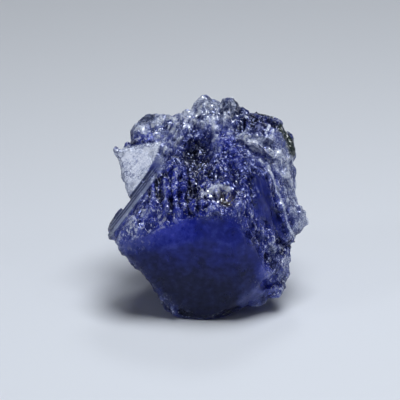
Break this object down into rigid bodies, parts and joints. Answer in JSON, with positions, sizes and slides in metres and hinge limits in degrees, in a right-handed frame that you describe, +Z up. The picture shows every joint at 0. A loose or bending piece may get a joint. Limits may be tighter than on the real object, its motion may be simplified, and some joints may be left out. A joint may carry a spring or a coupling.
{
  "type": "rough tanzanite crystal",
  "caption": "Uncut lump of violet-blue gem crystal with cleavage faces, a fluted broken skin and a small flat to rest on.",
  "frame": {"origin": "on the resting plane, under the middle of the lump's box", "axes": "+Z up from the flat that the lump rests on; +X to the right as the clean cleavage face is seen; -Y towards the viewer of that face"},
  "size_m": [0.0181, 0.016, 0.0175],
  "materials": {
    "tanzanite": "satin"
  },
  "bodies": {
    "root": {"tanzanite_crystal": "tanzanite"}
  },
  "joints": []
}
